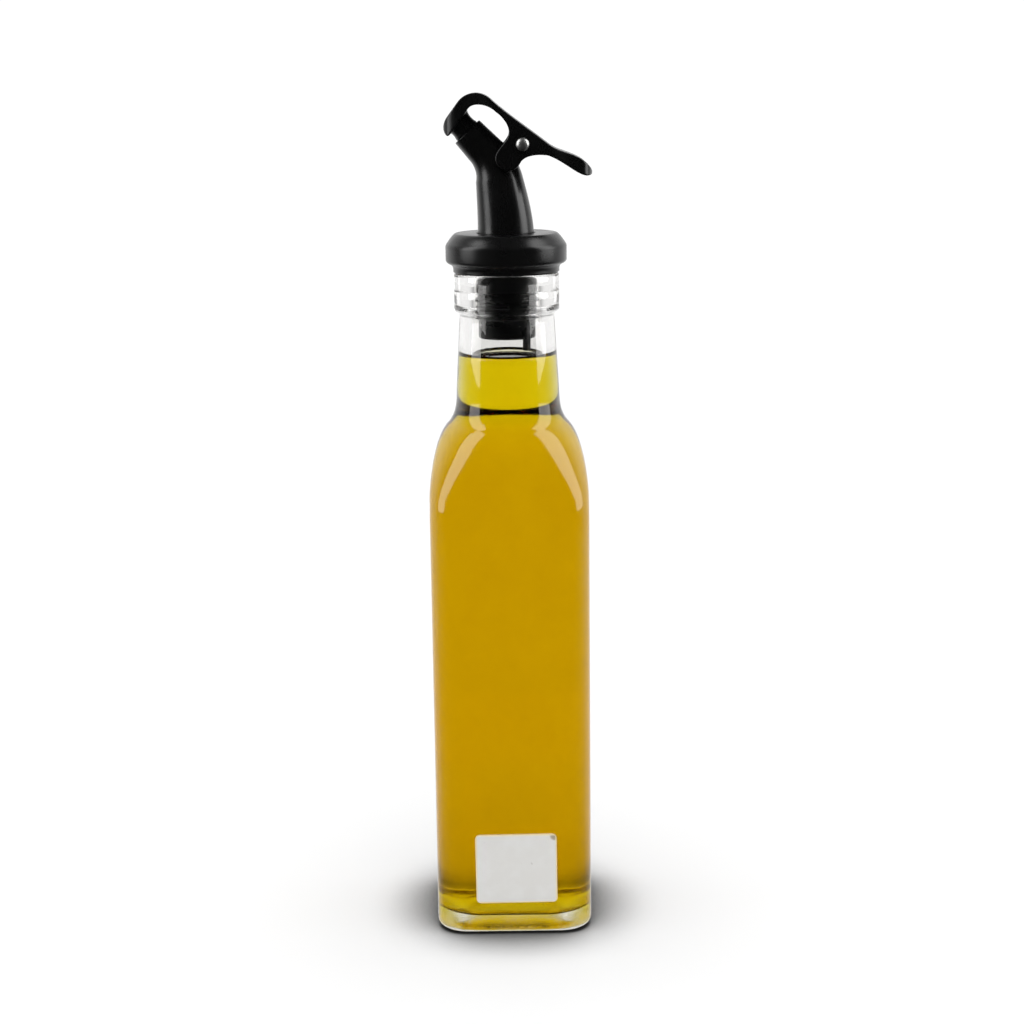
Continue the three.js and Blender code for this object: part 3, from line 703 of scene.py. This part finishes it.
stopper_profile = [
    (5.0, 181.9), *bend(4, (5.0, 181.9), (5.0, 181.7), (5.25, 181.7)), (7.9, 181.7),
    *bend(5, (7.9, 181.7), (8.5, 181.7), (8.5, 182.3)), (8.5, 187.2), (8.55, 187.5), (8.7, 187.7),
    *rib(187.9), *rib(189.55), *rib(191.2), *rib(192.85),
    *bend(4, (8.7, 194.4), (9.05, 194.45), (9.05, 194.9)), (9.05, 198), (9.05, 200.9),
    *bend(3, (9.05, 200.9), (9.05, 201.12), (9.3, 201.12)), (12.5, 201.12), (15.5, 201.12),
    *bend(5, (15.5, 201.12), (15.85, 201.2), (15.8, 201.7)),
    *bend(8, (15.8, 201.7), (15.7, 203.2), (16.8, 203.6)),
    *bend(8, (16.8, 203.6), (18.0, 204.1), (18.0, 204.9)), (18.0, 206.7), (18.0, 208.6),
    *bend(8, (18.0, 208.6), (18.0, 209.3), (17.4, 210.0)),
    *bend(12, (17.4, 210.0), (15.7, 212.55), (14.9, COLLAR_TOP)), (13, COLLAR_TOP), (9.1, COLLAR_TOP),
    *bend(4, (9.1, COLLAR_TOP), (8.75, COLLAR_TOP), (8.75, 212.35)), (8.75, 211.75),
    (6.6, 211.75), (6.6, 203.0), (5.0, 203.0), (5.0, 192),
]
stopper = turned("rubber_stopper", stopper_profile, 160, looped=True)
print("stopper:", len(stopper.data.polygons), "faces")

# %% [markdown]
# The vent tube hangs beside the middle of the plug, so its rings go round an axis of their own. It could
# be left a plain tube. Six shallow flutes are pressed into it, because they break up its reflection the
# way the photograph shows it through the glass.

# %% Vent tube
VENT_AXIS = (5.4, -5.55)
VENT_SIDES = 48
FLUTE_DEPTH = 0.11           # as a share of the radius

vent_profile = [
    (0, 187.0), (1.1, 187.0), (1.1, 182), *bend(4, (1.1, 178.6), (1.1, 178.3), (0.85, 178.3)),
    *bend(3, (0.85, 178.3), (0.55, 178.3), (0.55, 178.6)), (0.55, 180.8), (0, 180.8),
]
vent_rings = []
for radius, z in vent_profile:
    ring = round_ring(radius, z, VENT_SIDES, VENT_AXIS)
    if radius > 1:
        for i, (x, y, h) in enumerate(ring):
            pull = 1 - FLUTE_DEPTH * abs(math.cos(2 * math.pi * i * 3 / VENT_SIDES)) ** 6
            ring[i] = (VENT_AXIS[0] + (x - VENT_AXIS[0]) * pull, VENT_AXIS[1] + (y - VENT_AXIS[1]) * pull, h)
    vent_rings.append(ring)
vent = skin("vent_tube", vent_rings)
print("vent:", len(vent.data.polygons), "faces")

# %% [markdown]
# Black rubber is not pure black: it throws back about half a percent of the light, and its sheen is
# wide because its surface is fine and matt. Fine grain goes into the bump, and a slow cloud in the
# roughness keeps the streaks of the soft boxes from looking like plastic film. The vent tube looks
# lighter through the glass than the plug beside it, so it gets a smoky grey plastic of its own.

# %% Black rubber
rubber = Finish("satin_black_rubber", IOR=1.5, Specular_IOR_Level=0.5)
rubber_cloud = rubber.speckle(150, 4)
rubber.link(rubber.scaled(rubber_cloud, 0.24, 0.32, True, 0.3, 0.7), rubber.shader.inputs["Roughness"])
rubber.link(rubber.blend(rubber_cloud, (0.0040, 0.0040, 0.0041, 1), (0.0060, 0.0060, 0.0062, 1)),
            rubber.shader.inputs["Base Color"])
rubber.relief(rubber.speckle(5200, 3), 0.00002, 0.5)
tube_grey = Finish("smoky_tube_plastic", Roughness=0.3)
tube_grey.link(tube_grey.blend(tube_grey.speckle(900, 3), (0.035, 0.035, 0.036, 1), (0.075, 0.075, 0.075, 1)),
               tube_grey.shader.inputs["Base Color"])
for piece, coat in ((stopper, rubber), (vent, tube_grey)):
    piece.data.materials.append(coat.material)
    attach(piece, "bottle")
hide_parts("stopper")
print("rubber finish:", rubber.material.name)

# %% [markdown]
# ## The spout
# The spout is a cone that leans, turns at a knee and ends in a slanted tube. It could be modelled with
# a curve and a bevel, but the radius changes all the way and the bore has its own sizes. So the profile
# is written along the length of a centre line, and every ring is laid square across that line.

# %% Centre line of the spout
MOUTH_CENTRE = Vector((-10.94, 242.13))
MOUTH_TILT = math.radians(43)
TUBE_AXIS = Vector((-math.sin(MOUTH_TILT), math.cos(MOUTH_TILT)))
TUBE_FOOT = MOUTH_CENTRE - 7.6 * TUBE_AXIS
STEM_FOOT, SPOUT_BASE = 203.3, 212.05
KNEE = (-1.8, 228.6)

line_parts = [
    bend(20, (0, STEM_FOOT), (0, 207.5), (0, SPOUT_BASE)),
    bend(60, (0, SPOUT_BASE), (0, 217.05), (-1.1, 224.0), KNEE),
    bend(40, KNEE, (-2.5, 233.0), TUBE_FOOT),
    bend(20, TUBE_FOOT, (TUBE_FOOT + MOUTH_CENTRE) / 2, MOUTH_CENTRE),
]
line = [Vector((0, STEM_FOOT))]
lengths, marks = [0.0], []
for part in line_parts:
    for point in part:
        lengths.append(lengths[-1] + (point - line[-1]).length)
        line.append(point)
    marks.append(lengths[-1])
base_s, knee_s, tube_s, end_s = marks
print("lengths along the spout, mm:", [round(m, 2) for m in marks])

# %% Rings across the centre line
def on_line(s):
    """The point and the direction of the centre line at a length s."""
    inside = min(max(s, 0.0), end_s)
    i = next(k for k in range(1, len(lengths)) if lengths[k] >= inside - 1e-9)
    t = (inside - lengths[i - 1]) / (lengths[i] - lengths[i - 1])
    ahead = line[min(i + 1, len(line) - 1)] - line[max(i - 2, 0)]
    return line[i - 1].lerp(line[i], t) + ahead.normalized() * (s - inside), ahead.normalized()


def spout_ring(radius, s, sides=96):
    point, ahead = on_line(s)
    ring = []
    for i in range(sides):
        t = 2 * math.pi * i / sides
        across, y = radius * math.cos(t), radius * math.sin(t)
        ring.append((point.x + across * ahead.y, y, point.y - across * ahead.x))
    return ring


spout_profile = [
    (4.9, 0.3), *bend(3, (4.9, 0.3), (4.9, 0), (5.2, 0)), *bend(3, (6.0, 0), (6.3, 0), (6.3, 0.3)),
    (6.3, 4), (6.3, base_s), (8.1, base_s), *bend(3, (8.1, base_s), (8.35, base_s), (8.35, base_s + 0.25)),
    *bend(26, (8.35, base_s + 0.25), (8.1, base_s + 6), (7.5, knee_s - 5.2), (6.9, knee_s)),
    *bend(26, (6.9, knee_s), (5.95, (knee_s + tube_s) / 2), (5.35, tube_s)),
    *bend(10, (5.35, tube_s), (5.1, (tube_s + end_s) / 2), (4.9, end_s - 0.35)),
    *bend(5, (4.9, end_s - 0.35), (4.9, end_s), (4.55, end_s)), (3.75, end_s),
    *bend(3, (3.75, end_s), (3.5, end_s), (3.5, end_s - 0.3)),
    (3.8, tube_s), (4.1, (knee_s + tube_s) / 2), (4.6, knee_s), (4.9, base_s),
]
spout = skin("pour_spout_shell", [spout_ring(r, s) for r, s in spout_profile], looped=True)
print("spout:", len(spout.data.polygons), "faces")

# %% [markdown]
# The lug at the back of the spout and the two ears of the lever are plates: a side view drawn out to a
# thickness, with the edges rolled. A bevel on a finished plate is quick and clean.

# %% Plates
def evaluated(piece):
    """Turns the modifiers of a piece into plain mesh."""
    mesh = bpy.data.meshes.new_from_object(piece.evaluated_get(bpy.context.evaluated_depsgraph_get()))
    piece.modifiers.clear()
    old = piece.data
    piece.data = mesh
    bpy.data.meshes.remove(old)


def plate(name, outline, near_y, far_y, rolled=0.0):
    """An outline in X and Z drawn out along Y, in millimetres."""
    shape = bmesh.new()
    near = [shape.verts.new((x * MM, near_y * MM, z * MM)) for x, z in outline]
    face = shape.faces.new(near)
    out = bmesh.ops.extrude_face_region(shape, geom=[face])
    moved = [v for v in out["geom"] if isinstance(v, bmesh.types.BMVert)]
    bmesh.ops.translate(shape, verts=moved, vec=(0, (far_y - near_y) * MM, 0))
    bmesh.ops.recalc_face_normals(shape, faces=shape.faces)
    mesh = bpy.data.meshes.new(name)
    shape.to_mesh(mesh)
    shape.free()
    piece = bpy.data.objects.new(name, mesh)
    scene.collection.objects.link(piece)
    if rolled:
        bevel = piece.modifiers.new("rolled", "BEVEL")
        bevel.width, bevel.segments, bevel.angle_limit = rolled * MM, 3, math.radians(40)
        evaluated(piece)
    return piece


PIVOT = Vector((5.2, 238.5))
LUG_RADIUS = 2.4
lug_outline = [PIVOT + LUG_RADIUS * Vector((math.cos(a), math.sin(a)))
               for a in [math.radians(-65 + 185 * i / 24) for i in range(25)]]
lug_outline += [PIVOT + Vector(p) for p in ((-6.2, -1.9), (-5.2, -7.5), (-1.9, -7.0))]
lug = plate("spout_lug", lug_outline, -3.0, 3.0, 0.35)
print("lug:", len(lug.data.polygons), "faces")

# %% [markdown]
# ## The lever lid
# The lever is one moulding: a hook that presses a round boss on the mouth, a straight back, two ears
# that hang over the pin, and a thumb paddle. Its side view is drawn out, cut by its top view, and the
# ears and the boss are joined on. Sharp joints would give it away as a drawing, so the joined body is
# re-meshed with small cells and smoothed, which rolls every edge and fills every inner corner the way
# a moulding does.

# %% Side view and top view of the lever
side_view = [
    (-16.0, 241.3), *bend(4, (-16.0, 241.3), (-16.5, 240.7), (-16.9, 241.1)),
    *bend(10, (-16.9, 241.1), (-18.2, 242.2), (-18.1, 244.4), (-17.0, 246.1)), (-13.3, 251.0),
    *bend(16, (-13.3, 251.0), (-11.0, 253.7), (-6.5, 254.4), (-3.3, 250.9)),
    *bend(8, (-3.3, 250.9), (1.0, 247.1), (5.6, 244.0), (13.2, 238.2)),
    *bend(10, (13.2, 238.2), (15.6, 236.4), (18.9, 236.1), (21.9, 234.4)),
    *bend(12, (21.9, 234.4), (24.6, 232.8), (27.2, 229.4), (24.6, 229.2)),
    *bend(12, (24.6, 229.2), (21.6, 228.8), (17.5, 233.4), (12.6, 235.2)), (9.6, 238.6), (-2.4, 247.7),
    *bend(14, (-2.4, 247.7), (-4.6, 250.1), (-9.6, 250.9), (-10.9, 248.2)),
]
half_plan = [
    (-18.3, 0), *bend(10, (-18.3, 0), (-18.3, 4.2), (-16, 6.4), (-12.5, 6.4)),
    *bend(8, (-12.5, 6.4), (-7, 6.4), (-5, 8.75), (-1.5, 8.75)), (12.8, 8.75),
    *bend(20, (12.8, 8.75), (15.6, 8.75), (18.0, 7.0), (21.4, 7.0)),
    *bend(14, (21.4, 7.0), (24.2, 7.0), (25.7, 4.5), (25.7, 0)),
]
lever = plate("lever_lid_body", side_view, -8.75, 8.75)

plan_outline = half_plan + [(x, -y) for x, y in half_plan[-2:0:-1]]
plan = plate("plan", plan_outline, 0, 31)
plan.data.transform(Matrix.Rotation(math.pi / 2, 4, "X"))
plan.data.transform(Matrix.Translation((0, 0, 225 * MM)))
print("plan from z, mm:", round(min(v.co.z for v in plan.data.vertices) / MM, 1))

# %% Ears, boss and pin hole
BOSS_SINKS = 0.1         # into the rim of the mouth, so that no light shows where the lid shuts
PIN_HOLE_RADIUS = 1.25

ear_outline = [
    (-3.6, 249.4), (-2.5, 248.0), *bend(8, (-2.5, 248.0), (-0.6, 246.3), (1.35, 244.2), (1.25, 242.0)),
    *bend(12, (1.25, 242.0), (1.5, 239.6), (-2.3, 237.7), (-2.75, 235.0)),
    *bend(10, (-2.75, 235.0), (-3.1, 233.2), (-1.1, 231.0), (0.9, 231.0)),
    *bend(8, (0.9, 231.0), (2.4, 231.0), (3.8, 231.6), (4.6, 233.4)),
    *bend(8, (4.6, 233.4), (5.6, 235.1), (9.0, 235.8), (12.6, 235.2)), (12.4, 237.4),
]
ears = [plate("ear", ear_outline, -8.75, -6.95), plate("ear", ear_outline, 6.95, 8.75)]

boss_profile = [(0, 0), (3.8, 0), *bend(3, (3.8, 0), (4.0, 0), (4.0, 0.25)), (4.0, 0.6),
                *bend(5, (4.0, 0.6), (3.7, 1.2), (3.7, 2.2)),
                *bend(6, (3.7, 2.2), (3.7, 3.6), (4.5, 5.0)), (0, 5.0)]
boss = turned("boss", boss_profile, 64)
boss_foot = MOUTH_CENTRE - BOSS_SINKS * TUBE_AXIS
boss.data.transform(Matrix.Rotation(-MOUTH_TILT, 4, "Y"))
boss.data.transform(Matrix.Translation((boss_foot.x * MM, 0, boss_foot.y * MM)))

pin_hole = turned("pin_hole", [(0, -11), (PIN_HOLE_RADIUS, -11), (PIN_HOLE_RADIUS, 11), (0, 11)], 40)
pin_hole.data.transform(Matrix.Rotation(math.pi / 2, 4, "X"))
pin_hole.data.transform(Matrix.Translation((PIVOT.x * MM, 0, PIVOT.y * MM)))
print("boss foot, mm:", [round(v, 2) for v in boss_foot])

# %% One moulding with rolled edges
CELL = 0.22              # mesh cells this small keep the smallest roundings
SMOOTHING_ROUNDS = 7

for how, tools in (("INTERSECT", [plan]), ("UNION", ears + [boss]), ("DIFFERENCE", [pin_hole])):
    for tool in tools:
        cut = lever.modifiers.new(how, "BOOLEAN")
        cut.operation, cut.solver, cut.object = how, "EXACT", tool
        evaluated(lever)
        bpy.data.objects.remove(tool)
remesh = lever.modifiers.new("cells", "REMESH")
remesh.mode, remesh.voxel_size = "VOXEL", CELL * MM
soften = lever.modifiers.new("soften", "SMOOTH")
soften.factor, soften.iterations = 0.5, SMOOTHING_ROUNDS
evaluated(lever)
lever.data.shade_smooth()
print("lever:", len(lever.data.polygons), "faces")

# %% [markdown]
# The paddle is dished for the thumb. The dish is pressed into the finished mesh: each point on top of
# the paddle sinks a little, most in the middle.

# %% Thumb dish
DISH_X, DISH_ALONG, DISH_ACROSS = 20.5, 3.0, 4.2
DISH_DEPTH = 0.45
sunk = 0
for vertex in lever.data.vertices:
    x, y, z = vertex.co / MM
    if vertex.normal.z > 0.3 and x > 15:
        share = math.exp(-(((x - DISH_X) / DISH_ALONG) ** 2 + (y / DISH_ACROSS) ** 2))
        vertex.co.z -= DISH_DEPTH * MM * share
        sunk += share > 0.5
print("points in the dish:", sunk)

# %% [markdown]
# The spout and the lever are harder and glossier than the stopper. Their streaks are tighter, with soft
# ends. Handling leaves faint smears, which go into the roughness, and a mould surface is never perfectly
# smooth, which goes into a low bump.

# %% Black plastic
def black_plastic(name, low, high, relief):
    finish = Finish(name, IOR=1.5, Specular_IOR_Level=0.5)
    smear = finish.speckle(260, 5, (1, 1, 0.3))
    finish.link(finish.scaled(smear, low, high, True, 0.3, 0.7), finish.shader.inputs["Roughness"])
    finish.link(finish.blend(smear, (0.0038, 0.0038, 0.0038, 1), (0.0056, 0.0056, 0.0057, 1)),
                finish.shader.inputs["Base Color"])
    finish.relief(finish.speckle(2600, 3), relief, 0.5)
    return finish.material


spout_black = black_plastic("spout_black_plastic", 0.20, 0.30, 0.00001)
lever_black = black_plastic("lever_black_plastic", 0.22, 0.34, 0.000012)
for piece in (spout, lug):
    piece.data.materials.append(spout_black)
    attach(piece, "bottle")
    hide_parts("pour_spout")
lever.data.materials.clear()
lever.data.materials.append(lever_black)
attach(lever, "lever")
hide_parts("lever_lid")
print("plastic finishes:", spout_black.name, lever_black.name)

# %% [markdown]
# ## The steel pin
# The pin is a thin bar with a domed head outside each ear. It is turned like a lathe piece and laid on
# its side. The dome catches one bright spot, so its profile has to be truly round.

# %% Pin
def dome(side):
    """From the tip of a head to its rim, at one end of the pin."""
    tip, rim = side * 10.3, side * 9.05
    return [(0, tip), *bend(12, (0, tip), (1.45, tip), (1.95, rim + side * 0.45), (1.95, rim + side * 0.1)),
            (1.9, rim), (1.05, rim)]


pin = turned("hinge_pin", dome(-1) + [(1.05, 0)] + dome(1)[::-1], 64)
pin.data.transform(Matrix.Rotation(math.pi / 2, 4, "X"))
pin.data.transform(Matrix.Translation((PIVOT.x * MM, 0, PIVOT.y * MM)))
print("pin:", len(pin.data.polygons), "faces")

# %% [markdown]
# Plain steel is all reflection. A fine pitted noise in the colour, the roughness and the bump turns the
# mirror into the pitted, slightly dull dome of a rolled rivet.

# %% Steel
steel = Finish("rolled_pin_steel", Metallic=1.0)
pits = steel.speckle(1500, 6)
steel.link(steel.blend(pits, (0.60, 0.60, 0.58, 1), (0.92, 0.92, 0.90, 1)), steel.shader.inputs["Base Color"])
steel.link(steel.scaled(pits, 0.34, 0.5), steel.shader.inputs["Roughness"])
steel.relief(pits, 0.00008, 0.7)
pin.data.materials.append(steel.material)
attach(pin, "bottle")
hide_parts("pivot_pin")
print("pin finish:", steel.material.name)
